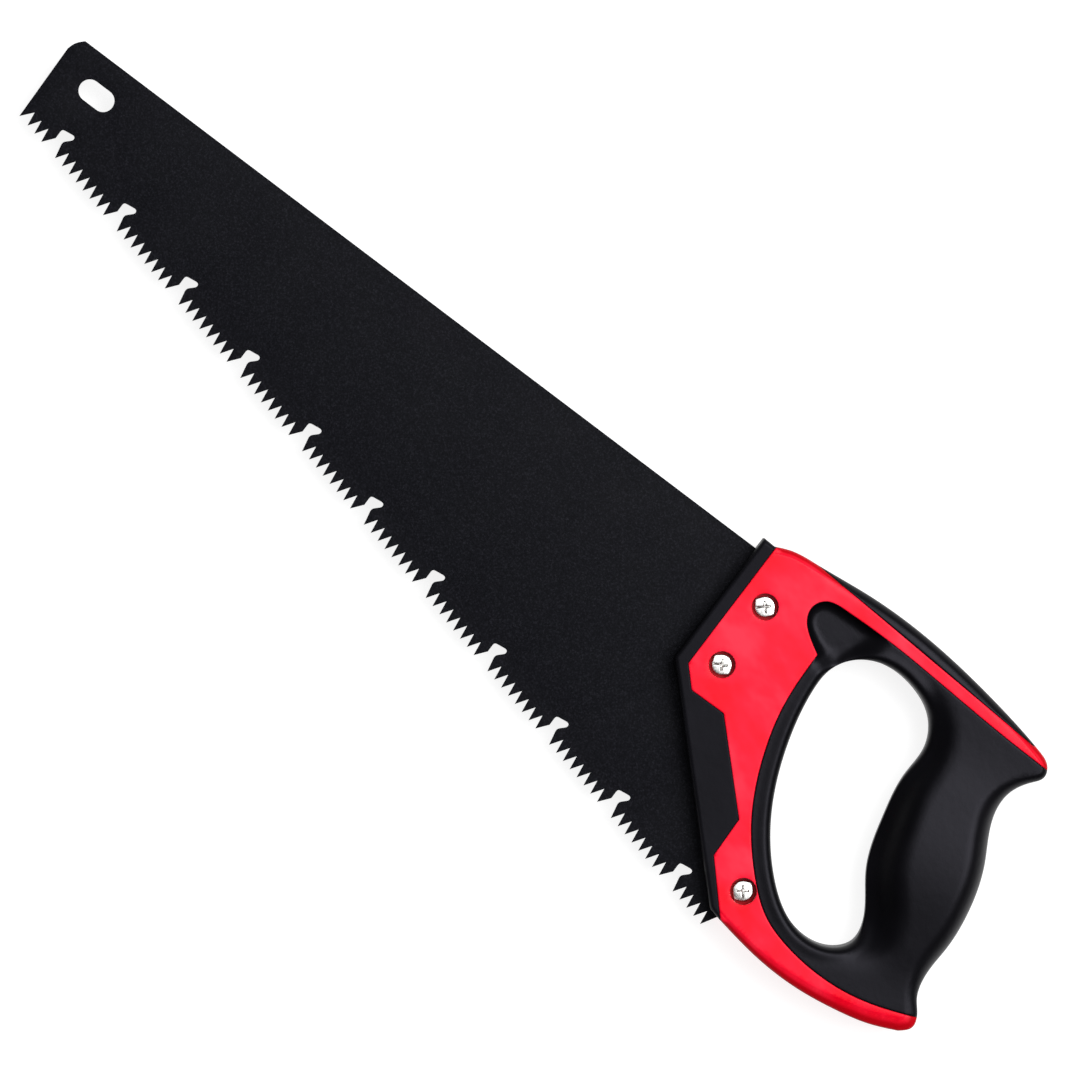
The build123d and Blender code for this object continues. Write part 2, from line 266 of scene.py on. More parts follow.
def handle_plan():
    """Triangulated plan of the whole handle, with every colour boundary along its edges."""
    low, high = SILHOUETTE.min(0), SILHOUETTE.max(0)
    rows = np.arange(low[1], high[1], GRID * ROW_STEP)
    loose = np.array([(u, v) for i, v in enumerate(rows)
                      for u in np.arange(low[0] + (i % 2) * GRID / 2, high[0], GRID)])
    clear = distance(loose, SILHOUETTE) - ROUND_RINGS[-1]
    clear = np.minimum(clear, distance(loose, OPENING) - RIM_RINGS[-1])
    for seam in SEAMS + RECESSES:
        clear = np.minimum(clear, distance(loose, seam) - SEAM_RINGS[-1])
    loose = loose[clear > GRID * GRID_CLEARANCE]
    beside = [rings(SILHOUETTE, ROUND_RINGS), rings(OPENING, RIM_RINGS)]
    along = np.roll(SILHOUETTE, -1, axis=0) - np.roll(SILHOUETTE, 1, axis=0)
    across = np.c_[-along[:, 1], along[:, 0]] / np.linalg.norm(along, axis=1)[:, None]
    for offset in BAND_RINGS:
        width = band_width(*SILHOUETTE.T) + offset
        points = SILHOUETTE + width[:, None] * across
        beside.append(points[distance(points, SILHOUETTE) > width * RING_SLACK])
    beside += [rings(seam, SEAM_RINGS, both_sides=True) for seam in SEAMS]
    beside += [rings(recess, SEAM_RINGS[:3]) for recess in RECESSES]
    loose = np.vstack([loose] + beside)
    loose = loose[inside(loose, SILHOUETTE) & ~inside(loose, OPENING)]
    points, faces = triangulate([SILHOUETTE, OPENING] + SEAMS + RECESSES, loose)
    middle = points[faces].mean(1)
    keep = inside(middle, SILHOUETTE) & ~inside(middle, OPENING)
    for recess in RECESSES:
        keep &= ~inside(middle, recess)
    return points, faces[keep], middle[keep]


PLAN, FACES, MIDDLES = handle_plan()
TO_EDGE = distance(PLAN, SILHOUETTE)
TO_OPENING = distance(PLAN, OPENING)
TO_SEAM = {name: distance(PLAN, loop) for name, loop in zip(("grip", "spine", "bumper"), SEAMS)}
TO_RECESS = np.min([distance(PLAN, recess) for recess in RECESSES], axis=0)

# ---------------------------------------------------------------- height of the faces over the mid plane
# Pairs say where an ease starts and ends, or a bell's middle and width.
BAR_TOP = np.array([418.0, 124.0])
BAR_END = np.array([450.0, 38.0])
BAR_LENGTH = np.linalg.norm(BAR_END - BAR_TOP)
BAR_ALONG = (BAR_END - BAR_TOP) / BAR_LENGTH
BAR_ACROSS = np.array([-BAR_ALONG[1], BAR_ALONG[0]])
BAR_START = (-6, 20)
BAR_FINISH = (-16, 6)  # from the bar's end
BAR_SIDE = (-40, -28)
CROWN = (48, 31)
CROWN_SHORT = 0.2  # the palm swell stays this far inside the CAD's
TOP_START = (318, 336)
TOP_FINISH = (405, 428)
TOP_SLANT = 0.17
TOP_SIDE = (96, 104)
FRONT_FADE = (6, 9)  # from the two front edges
EDGE_WIDTHS = {"band": 0.3, "bar": 8.0, "top": 2.2, "front": 1.4}  # of the rounding along the silhouette
EDGE_DROP = 3.0
BAR_EDGE_HEIGHT = 2.0
TOP_EDGE_DROP = 2.0
FRONT_EDGE_LIFT = 0.8
RIM_HEIGHT = 7.5  # at the opening
BAR_RIM_HEIGHT = 2.5
RIM_ROUNDING = 2.6
SLOPE_START = (-20, 4)
SLOPE_ROUNDING = 2.4
SLOPE_FOOT = 2.8
SLOPE_REACH = 5.6  # from the opening, at the bar's top
SLOPE_SPREAD = 6.6  # added by the bar's end
SLOPE_TAILS = (2.4, 6.4)
SLOPE_LEVEL = 0.42  # share of the height reached by the rounding at the bar's top
SLOPE_LEVEL_LOSS = 0.34
SLOPE_LEVEL_FADE = (5, 35)


def along_bar(down, across, start):
    """1 over the grip bar, easing to 0 past its ends and towards the blade."""
    finish = 1 - ease(down, BAR_LENGTH + BAR_FINISH[0], BAR_LENGTH + BAR_FINISH[1])
    return ease(down, *start) * finish * ease(across, *BAR_SIDE)


def opening_rise(down, slope, to_opening):
    """Share of the full height reached beside the opening: a short rounding, or the bar's long slope."""
    reach = SLOPE_REACH + SLOPE_SPREAD * np.clip(down / BAR_LENGTH, 0, 1)
    level = SLOPE_LEVEL - SLOPE_LEVEL_LOSS * ease(down, *SLOPE_LEVEL_FADE)
    near, far = (ease(to_opening, SLOPE_FOOT * level, tail + reach) for tail in SLOPE_TAILS)
    rise = (1 - slope) * quarter(to_opening / RIM_ROUNDING)
    return rise + slope * (level * quarter(to_opening / SLOPE_ROUNDING) + (1 - level) * ((near + far) / 2))


def outer_form(points, to_edge, to_opening):
    """Half thickness of the moulding before its seams and bead, and how far each point is on the grip bar."""
    u, v = points.T
    down = (points - BAR_TOP) @ BAR_ALONG
    across = (points - BAR_TOP) @ BAR_ACROSS
    bar = along_bar(down, across, BAR_START)
    slope = along_bar(down, across, SLOPE_START)
    top = ease(u, *TOP_START) * (1 - ease(u, *TOP_FINISH))
    top *= ease(v - TOP_SLANT * (u - TOP_START[0]), *TOP_SIDE)
    front = 1 - ease(distance(points, FRONT_EDGES, closed=False), *FRONT_FADE)
    crown = CHEEK + (PALM - CHEEK - CROWN_SHORT) * bar * bell(down, *CROWN)
    width = (band_width(u, v) + EDGE_WIDTHS["band"]) * (1 - bar)
    width = width + EDGE_WIDTHS["bar"] * bar + EDGE_WIDTHS["top"] * top
    width += (EDGE_WIDTHS["front"] - width) * front
    edge_height = (CHEEK - EDGE_DROP) * (1 - bar) + BAR_EDGE_HEIGHT * bar
    edge_height = edge_height - TOP_EDGE_DROP * top + FRONT_EDGE_LIFT * front
    rim_height = RIM_HEIGHT * (1 - slope) + BAR_RIM_HEIGHT * slope
    foot = (edge_height * to_opening + rim_height * to_edge) / (to_opening + to_edge + 1e-9)
    return foot + (crown - foot) * quarter(to_edge / width) * opening_rise(down, slope, to_opening), bar


FORM, BAR = outer_form(PLAN, TO_EDGE, TO_OPENING)
CORE_SEAM = 0.35
SOFT_SEAM = 0.5
STRIP_SEAM = 0.4
BAND_DROP = 0.28
BAND_STEP = (-0.5, 0.15)  # about the band's inner edge
BAND_FADE = (0, 1.2)
BEAD_HEIGHT = 0.18
BEAD = (2.8, 1.5)  # from the opening
VALLEY_DEPTH = 0.1
VALLEY = (6.0, 1.6)
SCOOP_DEPTH = 4.8
SCOOP_ROUNDING = 3.5
SCOOP_FINISH = (351, 362)
SCOOP_SHALLOW = 0.04  # share of the depth kept at the scoop's lower side
SCOOP_SLOPE = (93.5, 104)
SCOOP_RIM = 3.0


def seam_dip(to_seam, width):
    """How far a piece's face drops beside a seam."""
    return width * (1 - quarter(to_seam / width))


def core_height():
    """Face of the red core, with its lowered outer band."""
    nearest = np.min([TO_SEAM["grip"], TO_SEAM["spine"], TO_SEAM["bumper"], TO_RECESS], axis=0)
    width = band_width(*PLAN.T)
    band = 1 - ease(TO_EDGE, width + BAND_STEP[0], width + BAND_STEP[1])
    return FORM - seam_dip(nearest, CORE_SEAM) - BAND_DROP * band * ease(TO_EDGE, *BAND_FADE)


def grip_height():
    """Face of the grip's rubber, with the bead round the opening and the thumb scoop."""
    u, v = PLAN.T
    bead = BEAD_HEIGHT * bell(TO_OPENING, *BEAD)
    valley = VALLEY_DEPTH * bell(TO_OPENING, *VALLEY) * (1 - BAR)
    scoop = SCOOP_DEPTH * quarter(TO_SEAM["grip"] / SCOOP_ROUNDING) * (1 - ease(u, *SCOOP_FINISH))
    scoop *= SCOOP_SHALLOW + (1 - SCOOP_SHALLOW) * ease(v, *SCOOP_SLOPE)
    scoop *= quarter(TO_OPENING / SCOOP_RIM)
    return FORM + bead - valley - scoop - seam_dip(TO_SEAM["grip"], SOFT_SEAM)


def spine_height():
    """Face of the spine pad."""
    return FORM - seam_dip(TO_SEAM["spine"], SOFT_SEAM)


def bumper_height():
    """Face of the front strip and its panel."""
    return FORM - seam_dip(TO_SEAM["bumper"], STRIP_SEAM)


# ---------------------------------------------------------------- meshes
WELD_DISTANCE = 2e-7  # in metres
SLIVER = 1e-7
FOLD_ANGLE = radians(42)  # sharper folds keep a crisp edge
RIM_MATCH = 0.01  # how near a corner lies to a well's rim


def add_mesh(name, vertices, faces, material, node, slot):
    """A smooth-shaded piece that stands for a CAD node."""
    mesh = bpy.data.meshes.new(name)
    mesh.from_pydata([tuple(p) for p in place(vertices)], [], [tuple(int(i) for i in f) for f in faces])
    tidy = bmesh.new()
    tidy.from_mesh(mesh)
    bmesh.ops.remove_doubles(tidy, verts=tidy.verts, dist=WELD_DISTANCE)
    bmesh.ops.dissolve_degenerate(tidy, edges=tidy.edges, dist=SLIVER)
    bmesh.ops.recalc_face_normals(tidy, faces=tidy.faces)
    tidy.to_mesh(mesh)
    tidy.free()
    mesh.shade_smooth()
    mesh.set_sharp_from_angle(angle=FOLD_ANGLE)
    piece = bpy.data.objects.new(name, mesh)
    bpy.context.scene.collection.objects.link(piece)
    mesh.materials.append(material)
    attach(piece, "root")
    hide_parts(node)
    return piece


def boundary(faces):
    """Directed edges that only one triangle uses."""
    directed = np.vstack([faces[:, [0, 1]], faces[:, [1, 2]], faces[:, [2, 0]]])
    known = {tuple(e) for e in directed}
    return [(a, b) for a, b in known if (b, a) not in known]


def plan_solid(faces, height, points=PLAN, wells=(), base=None):
    """Closed solid over some of the plan's triangles, down to a base or to its own mirror image.

    A well is a round hole: its centre, its rim's radius and the (radius, height) rows of its lining."""
    used = np.unique(faces)
    number = {old: new for new, old in enumerate(used)}
    flat = points[used]
    top = np.c_[flat, height[used]]
    base = top * [1, 1, -1] if base is None else np.c_[flat, base[used]]
    local = np.vectorize(number.get)(faces)
    count = len(used)
    vertices = [top, base]
    shell = [tuple(f) for f in local] + [tuple(f[::-1] + count) for f in local]
    lined = set()
    for centre, rim, lining in wells:
        off_rim = np.abs(np.hypot(*(flat - centre[:2]).T) - rim)
        ring = [(a, b) for a, b in boundary(local) if off_rim[a] < RIM_MATCH and off_rim[b] < RIM_MATCH]
        lined.update(ring)
        after = dict(ring)
        order = [ring[0][0]]
        while after[order[-1]] != order[0]:
            order.append(after[order[-1]])
        rows = [np.array(order)]
        total = sum(len(v) for v in vertices)
        for radius, z in lining:
            spoke = (flat[order] - centre[:2]) / rim
            vertices.append(np.c_[centre[:2] + spoke * radius, np.full(len(order), z)])
            rows.append(np.arange(total, total + len(order)))
            total += len(order)
        rows.append(np.array(order) + count)
        for upper, lower in zip(rows, rows[1:]):
            for i in range(len(order)):
                j = (i + 1) % len(order)
                shell.append((upper[j], upper[i], lower[i], lower[j]))
    shell += [(b, a, a + count, b + count) for a, b in boundary(local) if (a, b) not in lined]
    return np.vstack(vertices), shell


def cut_pocket(piece, loop, gap):
    """Cut a flat slot, gap thick about the mid plane, out of a piece."""
    count = len(loop)
    levels = [np.c_[loop, np.full(count, z)] for z in (-gap / 2, gap / 2)]
    faces = [tuple(range(count))[::-1], tuple(range(count, 2 * count))]
    faces += [(i, (i + 1) % count, (i + 1) % count + count, i + count) for i in range(count)]
    mesh = bpy.data.meshes.new("pocket")
    mesh.from_pydata([tuple(p) for p in place(np.vstack(levels))], [], faces)
    cutter = bpy.data.objects.new("pocket", mesh)
    bpy.context.scene.collection.objects.link(cutter)
    cut = piece.modifiers.new("slot", "BOOLEAN")
    cut.operation = "DIFFERENCE"
    cut.solver = "EXACT"
    cut.object = cutter
    apply_modifiers(piece)
    bpy.data.objects.remove(cutter)


def apply_modifiers(piece):
    """Bake a piece's modifiers into its mesh."""
    graph = bpy.context.evaluated_depsgraph_get()
    baked = bpy.data.meshes.new_from_object(piece.evaluated_get(graph))
    old = piece.data
    piece.modifiers.clear()
    piece.data = baked
    bpy.data.meshes.remove(old)


# ---------------------------------------------------------------- blade
TOOTH_PITCH = 3.992
TOOTH_DEPTH = 5.2
TOOTH_ROOT = 2.0
TOOTH_PLACES = 100
GULLET_FIRST = 4
GULLET_STEP = 9
GULLET = [(2.4, 5.0), (1.6, 8.4), (1.9, 9.2), (6.1, 10.8), (7.0, 10.5), (7.3, 9.4), (5.4, 6.4), (5.6, 5.2)]
BACK_ANGLE = radians(12.8)
BACK_RISE = 38.35
BACK_END = 328.0
TOE_NOSE = (-6.2, 36.95)
HEEL = [(334.0, 106.5), (340.0, 84.0), (352.0, 58.0), (376.0, 35.0), (391.0, 27.0), (400.5, 24.5),
        (402.8, 19.0), (401.0, 11.0), (397.4, 6.9)]
HANG_SLOT = (12.1, 26.95)
HANG_SLOT_REACH = 3.15  # from its middle to the centre of each round end
HANG_SLOT_RADIUS = 4.25
CLAMP_RADIUS = 3.2
SLOT_GAP = 1.0
SLOT_CLEARANCE = 0.5
POCKET_START = 280.0  # ahead of the handle
POCKET_LOW = -5.0  # below it
GULLET_ROUNDING = 0.9
BEVEL = 0.12
BEVEL_RINGS = [0.07, 0.22]
BLADE_HALF = (BLADE_HIGH.z - BLADE_LOW.z) / 2 / MM


def back_point(u):
    """Point on the straight back of the blade."""
    return (u, BACK_RISE + u * tan(BACK_ANGLE))


def grown(corners, amount):
    """Polygon with every side moved out by the same amount."""
    ring = turned(np.array(corners))
    before, after = ring - np.roll(ring, 1, axis=0), np.roll(ring, -1, axis=0) - ring
    out = [np.c_[side[:, 1], -side[:, 0]] / np.linalg.norm(side, axis=1)[:, None] for side in (before, after)]
    mitre = out[0] + out[1]
    return ring + amount * mitre / (1 + (out[0] * out[1]).sum(1))[:, None]


def rounded(corners, radius, steps=4):
    """Open run of corners with each inner one rounded off."""
    run = [np.array(corners[0])]
    for before, corner, after in zip(corners, corners[1:], corners[2:]):
        corner = np.array(corner)
        legs = [np.subtract(end, corner) for end in (before, after)]
        legs = [leg * min(radius, np.linalg.norm(leg) * 0.45) / np.linalg.norm(leg) for leg in legs]
        for t in np.linspace(0, 1, steps):
            run.append(corner + legs[0] * (1 - t) ** 2 + legs[1] * t ** 2)
    return run + [np.array(corners[-1])]


def cutting_edge():
    """Cutting edge from toe to heel, chip gullets included."""
    run = []
    for index in range(TOOTH_PLACES):
        tip = index * TOOTH_PITCH
        if index % GULLET_STEP == GULLET_FIRST:
            run += rounded([(tip - TOOTH_PITCH + u, v) for u, v in GULLET], GULLET_ROUNDING)
            continue
        run.append((tip, 0.0))
        if (index + 1) % GULLET_STEP != GULLET_FIRST:
            run.append((tip + TOOTH_ROOT, TOOTH_DEPTH))
    return run[1:-1]


def blade_plan():
    """Outlines of the blade: outer edge, hanging slot and clamping holes."""
    back = back_point(BACK_END)
    nose = smooth_curve([TOE_NOSE, (-8.05, 33.4), (-8.4, 30.2)], 0.6)
    corners = [(-0.7, 0.0)] + cutting_edge() + HEEL[::-1] + [back] + list(nose)
    edge = outline(*zip(corners, corners[1:] + corners[:1]), spacing=0.9)
    reach = HANG_SLOT_REACH * np.array([cos(BACK_ANGLE), sin(BACK_ANGLE)])
    turn = np.linspace(-pi / 2, pi / 2, 17)
    slot = [np.array(HANG_SLOT) + end * reach + HANG_SLOT_RADIUS * np.c_[np.cos(way), np.sin(way)]
            for end, way in ((1, turn + BACK_ANGLE), (-1, turn + BACK_ANGLE + pi))]
    return edge, [np.vstack(slot)] + [circle(screw, CLAMP_RADIUS, 32) for screw in SCREWS]


def blade_solid():
    """Flat plate of the blade with a fine bevel along every edge."""
    edge, holes = blade_plan()
    loops = [turned(edge)] + [turned(hole, left=False) for hole in holes]
    loose = np.vstack([rings(loop, BEVEL_RINGS) for loop in loops])
    loose = loose[inside(loose, edge)]
    points, faces = triangulate(loops, loose)
    middle = points[faces].mean(1)
    keep = inside(middle, edge)
    for hole in holes:
        keep &= ~inside(middle, hole)
    to_edge = np.min([distance(points, loop) for loop in loops], axis=0)
    height = BLADE_HALF - BEVEL * (1 - quarter(to_edge / BEVEL_RINGS[-1]))
    return plan_solid(faces[keep], height, points)


# ---------------------------------------------------------------- screws and sleeve nuts
HEAD_HEIGHT = 2.2
HEAD_RADIUS = 3.85
EAR_REACH = 4.75  # from the head's middle to the tip of each of its two ears
SCREW_TURNS = [radians(a) for a in (10.5, -3.5, 94.0)]
DRIVE_REACH = 2.3
DRIVE_HALF = 0.5
DRIVE_DEPTH = 0.4
DRIVE_DEEPER = 0.4  # added towards the ends of the arms
DEEPER_FADE = (1.4, 2.5)  # from the head's middle
DRIVE_TURN = pi / 4  # from the ears
NOTCH_REACH = 1.0  # one arm of the cross runs this much further
SLOT_REACH = 0.6  # the nut's straight slot runs this much further
DRIVE_DRAFT = 0.42  # how far the recess's walls lean in
HEAD_GRID = 0.36
HEAD_RINGS = [0.06, 0.2, 0.42]
HEAD_CLEARANCE = 0.8
DRIVE_CLEARANCE = 0.2
HEAD_DOME = 0.28
HEAD_ROUNDING = 0.2
SHANK_PLAIN = 2.0  # length of the plain shank under the head
THREAD_SHORT = 3.0  # the plain shank and the tip together
TIP_TAPER = 0.6
SHANK_RADIUS = 2.0
THREAD_PITCH = 0.7
THREAD_DEPTH = 0.3
SLEEVE_OUTER = 3.0
SLEEVE_CHAMFER = 0.4
SLEEVE_BORE = 2.05
BORE_CHAMFER = 0.3
BORE_FLOOR = 1.0  # inside the nut's flange


def head_edge(angle):
    """Round head with two pointed ears on one axis."""
    way = angle + np.arange(120) * pi / 60
    fold = np.abs((way - angle + pi / 2) % pi - pi / 2)
    ear = np.arccos(HEAD_RADIUS / EAR_REACH)
    radius = np.where(fold < ear, HEAD_RADIUS / np.cos(ear - np.minimum(fold, ear)), HEAD_RADIUS)
    return radius[:, None] * np.c_[np.cos(way), np.sin(way)]


def drive_edge(angle, cross, inset=0.0):
    """Outline of a cross recess with one longer arm, or of a straight slot."""
    arm, half = DRIVE_REACH - inset, DRIVE_HALF - inset
    if cross:
        notch = -arm - NOTCH_REACH
        corners = [(arm, half), (half, half), (half, arm), (-half, arm), (-half, half), (notch, half),
                   (notch, -half), (-half, -half), (-half, -arm), (half, -arm), (half, -half), (arm, -half)]
    else:
        end = arm + SLOT_REACH
        corners = [(end, half), (-end, half), (-end, -half), (end, -half)]
    along, across = np.array([cos(angle), sin(angle)]), np.array([-sin(angle), cos(angle)])
    return np.array([x * along + y * across for x, y in corners])


def head_solid(centre, angle, seat, up, cross):
    """Domed head standing on its seat, with its drive recess sunk in."""
    edge = head_edge(angle)
    drive = drive_edge(angle + DRIVE_TURN, cross)
    steps = np.arange(-EAR_REACH, EAR_REACH, HEAD_GRID)
    loose = np.array([(x, y) for x in steps for y in steps])
    loose = loose[inside(loose, edge)]
    loose = loose[(distance(loose, edge) > HEAD_CLEARANCE) & (distance(loose, drive) > DRIVE_CLEARANCE)]
    loose = np.vstack([loose, rings(turned(edge), HEAD_RINGS)])
    points, faces = triangulate([edge, drive, drive_edge(angle + DRIVE_TURN, cross, DRIVE_DRAFT)], loose)
    faces = faces[inside(points[faces].mean(1), edge)]
    radius = np.hypot(*points.T)
    top = HEAD_HEIGHT - HEAD_DOME * (radius / EAR_REACH) ** 2
    top = top - HEAD_ROUNDING * (1 - quarter(distance(points, edge) / HEAD_RINGS[-1]))
    sink = np.clip(distance(points, drive) / DRIVE_DRAFT, 0, 1) * inside(points, drive)
    top -= (DRIVE_DEPTH + DRIVE_DEEPER * ease(radius, *DEEPER_FADE)) * sink
    return plan_solid(faces, seat + up * top, points + centre[:2], base=np.full(len(points), seat))


def turned_solid(centre, rows, count=48):
    """Closed solid turned about a screw's axis from (radius, height) rows."""
    rim = circle((0, 0), 1.0, count)
    vertices = np.vstack([np.c_[centre[:2] + radius * rim, np.full(count, z)] for radius, z in rows])
    faces = [tuple(range(count)), tuple(range((len(rows) - 1) * count, len(rows) * count))]
    for row in range(len(rows) - 1):
        for i in range(count):
            j = (i + 1) % count
            faces.append((row * count + i, row * count + j, (row + 1) * count + j, (row + 1) * count + i))
    return vertices, faces


def joined(*solids):
    """Several solids as one mesh."""
    vertices, faces, total = [], [], 0
    for points, shell in solids:
        vertices.append(points)
        faces += [tuple(int(i) + total for i in face) for face in shell]
        total += len(points)
    return np.vstack(vertices), faces


def head_seat(i):
    """Height over the mid plane at which a screw's head is seated."""
    return (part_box(f"screw_{i}")[1].z - DATUM[2]) / MM - HEAD_HEIGHT


def screw_solid(i):
    """Screw: its head and a shank threaded to the tip."""
    centre, seat = SCREWS[i - 1], head_seat(i)
    end = (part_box(f"screw_{i}")[0].z - DATUM[2]) / MM
    turns = int((seat - end - THREAD_SHORT) / THREAD_PITCH)
    rows = [(SHANK_RADIUS, seat), (SHANK_RADIUS, seat - SHANK_PLAIN)]
    for k in range(turns):
        z = seat - SHANK_PLAIN - k * THREAD_PITCH
        rows += [(SHANK_RADIUS - THREAD_DEPTH, z - THREAD_PITCH / 2), (SHANK_RADIUS, z - THREAD_PITCH)]
    rows += [(SHANK_RADIUS - TIP_TAPER, end)]
    return joined(head_solid(centre, SCREW_TURNS[i - 1], seat, 1, True), turned_solid(centre, rows))


def nut_solid(i):
    """Sleeve nut: its slotted flange and a bored barrel."""
    centre, seat = SCREWS[i - 1], head_seat(i)
    end = (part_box(f"sleeve_nut_{i}")[1].z - DATUM[2]) / MM
    rows = [(SLEEVE_OUTER, -seat), (SLEEVE_OUTER, end - SLEEVE_CHAMFER), (SLEEVE_OUTER - SLEEVE_CHAMFER, end),
            (SLEEVE_BORE + BORE_CHAMFER, end), (SLEEVE_BORE, end - BORE_CHAMFER),
            (SLEEVE_BORE, BORE_FLOOR - seat)]
    return joined(head_solid(centre, -SCREW_TURNS[i - 1], -seat, -1, False), turned_solid(centre, rows))


# ---------------------------------------------------------------- materials
SHADE_FULL_BELOW = 1.0  # under the cheeks, where the painted shade on the red is at its darkest
SHADE_FREE_ABOVE = 0.1  # under the cheeks, where the red is at its brightest, free of painted shade


def new_material(name):
    """An empty node material with its surface shader: material, nodes, links, shader."""
    material = bpy.data.materials.new(name)
    material.use_nodes = True
    nodes, links = material.node_tree.nodes, material.node_tree.links
    nodes.clear()
    shader = nodes.new("ShaderNodeBsdfPrincipled")
    links.new(shader.outputs[0], nodes.new("ShaderNodeOutputMaterial").inputs[0])
    return material, nodes, links, shader


def noise(nodes, links, scale, detail=2.0, roughness=0.5, stretch=(1, 1, 1)):
    """Noise over the row's own coordinates, scale in cycles per metre."""
    place_node = nodes.new("ShaderNodeTexCoord")
    mapping = nodes.new("ShaderNodeMapping")
    mapping.inputs["Scale"].default_value = stretch
    texture = nodes.new("ShaderNodeTexNoise")
    texture.inputs["Scale"].default_value = scale
    texture.inputs["Detail"].default_value = detail
    texture.inputs["Roughness"].default_value = roughness
    links.new(place_node.outputs["Object"], mapping.inputs["Vector"])
    links.new(mapping.outputs[0], texture.inputs["Vector"])
    return texture.outputs[0]


def ramp(nodes, links, value, stops):
    """Colours along a value: stops are (place, colour) pairs."""
    node = nodes.new("ShaderNodeValToRGB")
    elements = node.color_ramp.elements
    while len(elements) < len(stops):
        elements.new(0.5)
    for element, (where, colour) in zip(elements, stops):
        element.position = where
        element.color = (*colour, 1) if hasattr(colour, "__len__") else (colour, colour, colour, 1)
    links.new(value, node.inputs[0])
    return node.outputs[0]


def span(nodes, links, value, low, high):
    """A 0 to 1 value mapped to low to high."""
    node = nodes.new("ShaderNodeMapRange")
    node.inputs["To Min"].default_value = low
    node.inputs["To Max"].default_value = high
    links.new(value, node.inputs["Value"])
    return node.outputs[0]


def bump(nodes, links, value, depth, strength, under=None):
    """A bump of a real depth in metres, over another one."""
    node = nodes.new("ShaderNodeBump")
    node.inputs["Strength"].default_value = strength
    node.inputs["Distance"].default_value = depth
    links.new(value, node.inputs["Height"])
    if under:
        links.new(under, node.inputs["Normal"])
    return node.outputs[0]


def painted_shade_below_cheeks(nodes, links, colour, shade_colour):
    """Painted shade: a colour turning to a darker one below the flat cheeks, so the edges and the recesses
    look shaded.
    """
    apart = nodes.new("ShaderNodeSeparateXYZ")
    links.new(nodes.new("ShaderNodeTexCoord").outputs["Object"], apart.inputs[0])
    level = apart.outputs["Z"]
    for operation, operand in (("SUBTRACT", float(DATUM[2])), ("ABSOLUTE", 0.0)):
        step = nodes.new("ShaderNodeMath")
        step.operation = operation
        step.inputs[1].default_value = operand
        links.new(level, step.inputs[0])
        level = step.outputs[0]
    share = nodes.new("ShaderNodeMapRange")
    share.interpolation_type = "SMOOTHSTEP"
    share.inputs["From Min"].default_value = (CHEEK - SHADE_FULL_BELOW) * MM
    share.inputs["From Max"].default_value = (CHEEK - SHADE_FREE_ABOVE) * MM
    links.new(level, share.inputs["Value"])
    mix = nodes.new("ShaderNodeMix")
    mix.data_type = "RGBA"
    links.new(share.outputs[0], mix.inputs["Factor"])
    mix.inputs[6].default_value = (*shade_colour, 1)
    links.new(colour, mix.inputs[7])
    return mix.outputs[2]


def blade_coating():
    """Dark non-stick coating with a fine speckle."""
    material, nodes, links, shader = new_material("blade_coating_dark")
    speck = noise(nodes, links, 1500, 3, 0.65)
    cloud = noise(nodes, links, 60, 3, 0.5)
    colour = ramp(nodes, links, speck, [(0.34, (0.0020, 0.0021, 0.0034)), (0.54, (0.0046, 0.0048, 0.0070)),
                                        (0.74, (0.015, 0.015, 0.020))])
    shader.inputs["Specular IOR Level"].default_value = 0.05
    links.new(colour, shader.inputs["Base Color"])
    links.new(span(nodes, links, cloud, 0.50, 0.66), shader.inputs["Roughness"])
    links.new(bump(nodes, links, speck, 0.00006, 0.35), shader.inputs["Normal"])
    return material


def red_plastic():
    """Bright satin moulded plastic with slight flow marks, and painted shade on its lowered edges and in the
    screw recesses.
    """
    material, nodes, links, shader = new_material("core_red_plastic")
    flow = noise(nodes, links, 38, 3, 0.55, (1, 1.6, 1))
    grain = noise(nodes, links, 2600, 2, 0.5)
    colour = ramp(nodes, links, flow, [(0.34, (0.80, 0.0, 0.014)), (0.52, (0.90, 0.007, 0.032)),
                                       (0.68, (0.94, 0.026, 0.058))])
    shader.inputs["Specular IOR Level"].default_value = 0.11
    # the darker red below the cheeks is painted shade on the edge bands and in the screw recesses
    links.new(painted_shade_below_cheeks(nodes, links, colour, (0.44, 0.0, 0.005)), shader.inputs["Base Color"])
    links.new(span(nodes, links, flow, 0.30, 0.42), shader.inputs["Roughness"])
    links.new(bump(nodes, links, grain, 0.00003, 0.12), shader.inputs["Normal"])
    return material


def soft_black(name, tone, gloss, low, high, grain_scale=1900, grain_strength=0.3):
    """Black soft rubber with a fine moulded grain."""
    material, nodes, links, shader = new_material(name)
    shader.inputs["Specular IOR Level"].default_value = gloss
    shader.inputs["Specular Tint"].default_value = (0.86, 0.84, 1.0, 1.0)
    grain = noise(nodes, links, grain_scale, 3, 0.6)
    cloud = noise(nodes, links, 45, 3, 0.5)
    colour = ramp(nodes, links, cloud, [(0.35, tuple(tone * c * 0.8 for c in (1, 0.97, 1.3))),
                                        (0.70, tuple(tone * c * 1.25 for c in (1, 0.97, 1.3)))])
    links.new(colour, shader.inputs["Base Color"])
    links.new(span(nodes, links, cloud, low, high), shader.inputs["Roughness"])
    waves = bump(nodes, links, noise(nodes, links, 260, 3, 0.55), 0.0004, 0.2)
    links.new(bump(nodes, links, grain, 0.00004, grain_strength, under=waves), shader.inputs["Normal"])
    return material


def nickel():
    """Bright nickel plate with fine turning marks."""
    material, nodes, links, shader = new_material("screw_nickel_bright")
    marks = noise(nodes, links, 1200, 3, 0.6)
    colour = ramp(nodes, links, marks, [(0.35, (0.42, 0.42, 0.41)), (0.65, (0.66, 0.66, 0.64))])
    shader.inputs["Metallic"].default_value = 1.0
    links.new(colour, shader.inputs["Base Color"])
    links.new(span(nodes, links, marks, 0.16, 0.34), shader.inputs["Roughness"])
    links.new(bump(nodes, links, marks, 0.00005, 0.25), shader.inputs["Normal"])
    return material


